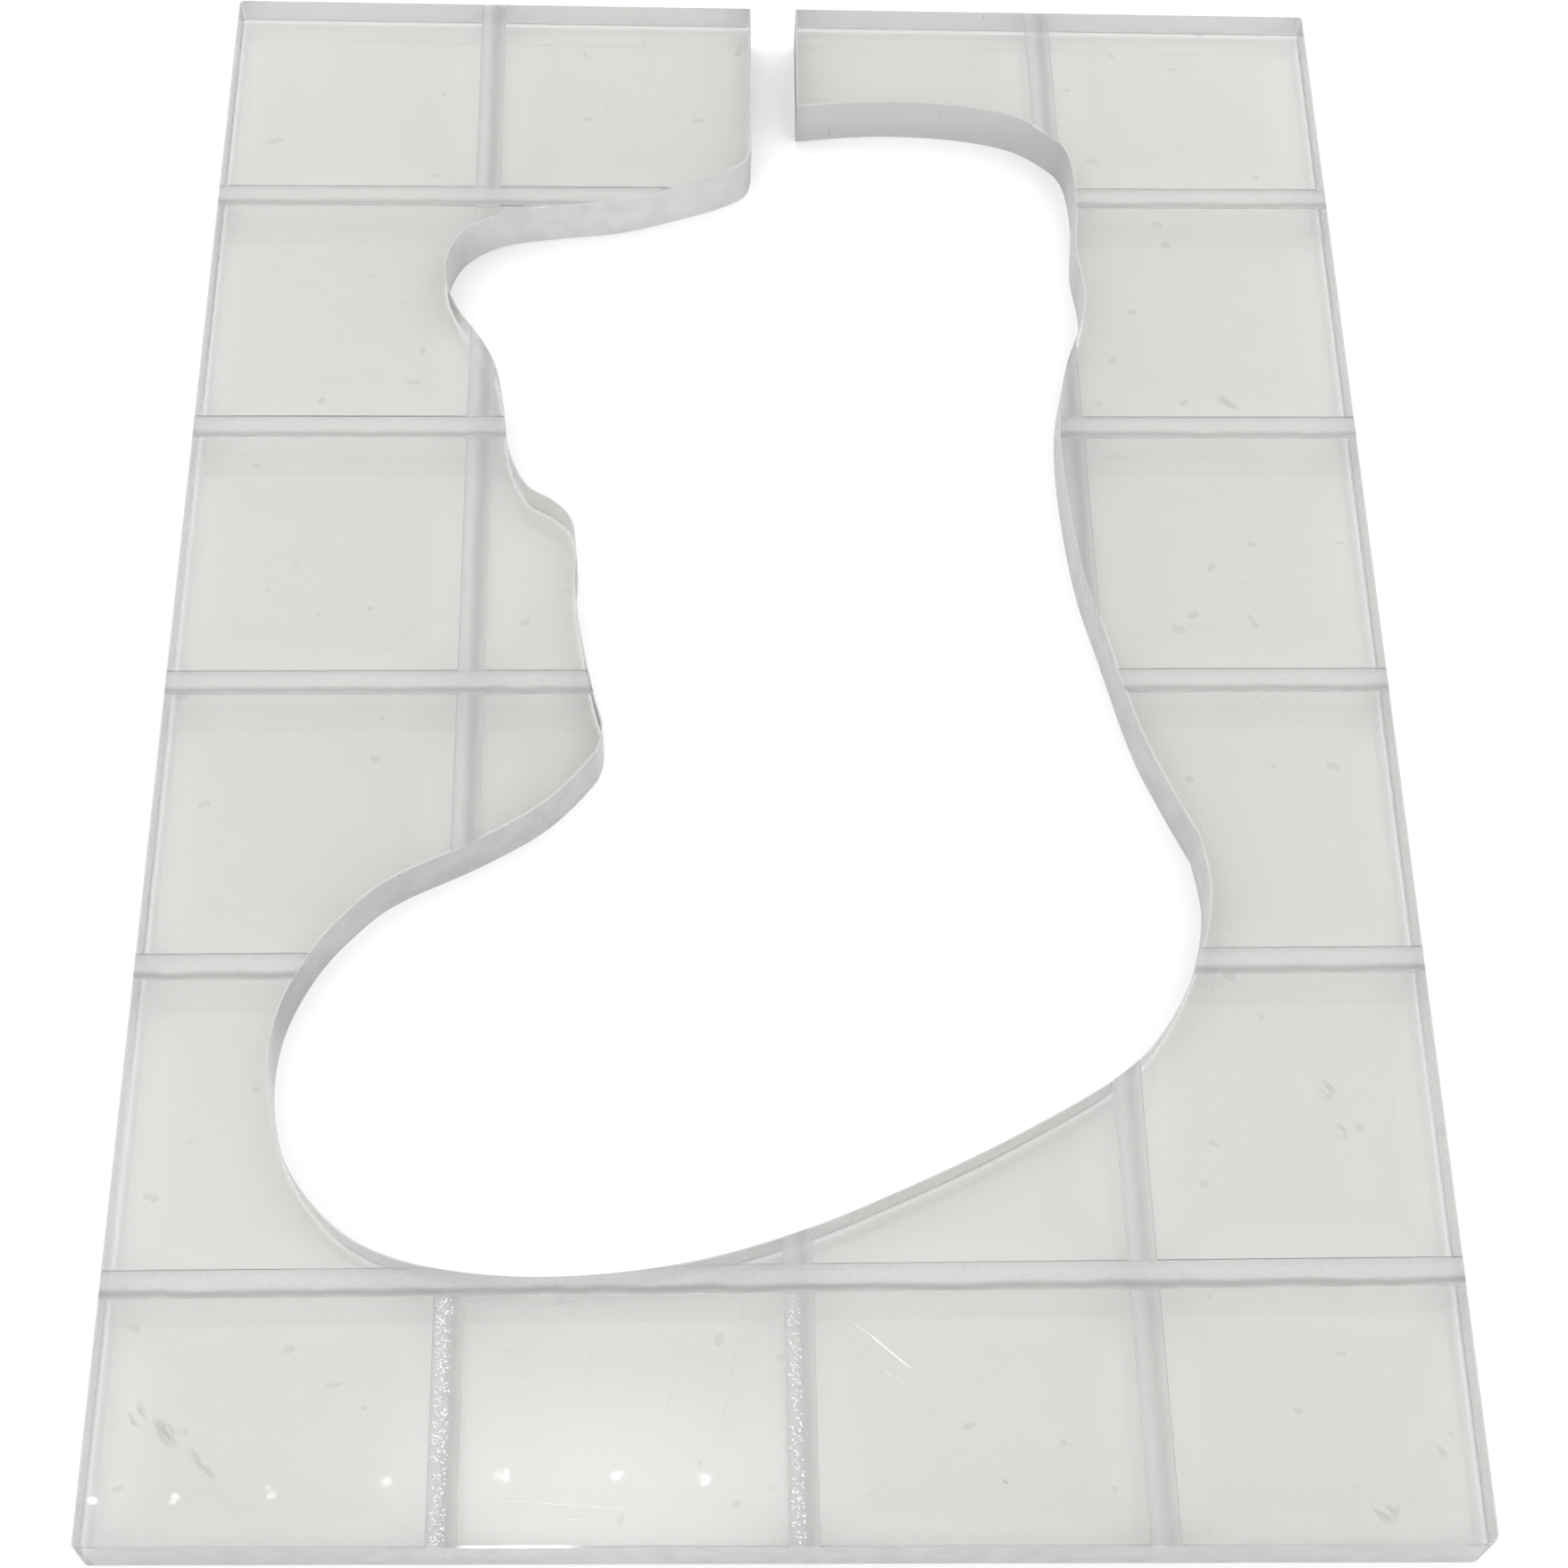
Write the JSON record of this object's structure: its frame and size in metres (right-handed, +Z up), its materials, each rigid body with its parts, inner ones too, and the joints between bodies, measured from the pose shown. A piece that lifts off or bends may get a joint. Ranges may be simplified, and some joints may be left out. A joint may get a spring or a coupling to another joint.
{
  "type": "french curve template",
  "caption": "Flat clear acrylic french curve with a stocking-shaped cut-out, a narrow entry slot at one end and a square grid of engraved, filled lines.",
  "frame": {"origin": "centre of the plate's outline, on the underside that lies on the paper", "axes": "+X to the right, +Y along the plate towards the slotted far edge, +Z up out of the engraved face"},
  "size_m": [0.1, 0.144, 0.005],
  "materials": {
    "clear_acrylic": "clear cast acrylic sheet, polished faces and edges, light handling scratches",
    "line_filler": "matt pale grey filler wiped into the engraved lines, slightly grainy"
  },
  "bodies": {
    "root": {"template_plate": "clear_acrylic", "column_line_1_strip_1": "line_filler", "column_line_1_strip_2": "line_filler", "column_line_1_strip_3": "line_filler", "column_line_1_strip_4": "line_filler", "column_line_1_strip_5": "line_filler", "column_line_2_strip_1": "line_filler", "column_line_2_strip_2": "line_filler", "column_line_3_strip_1": "line_filler", "column_line_3_strip_2": "line_filler", "column_line_3_strip_3": "line_filler", "column_line_3_strip_4": "line_filler", "column_line_3_strip_5": "line_filler", "row_line_1_left": "line_filler", "row_line_1_right": "line_filler", "row_line_2_left": "line_filler", "row_line_2_right": "line_filler", "row_line_3_left": "line_filler", "row_line_3_right": "line_filler", "row_line_4_left": "line_filler", "row_line_4_right": "line_filler", "row_line_5_full": "line_filler"}
  },
  "joints": []
}
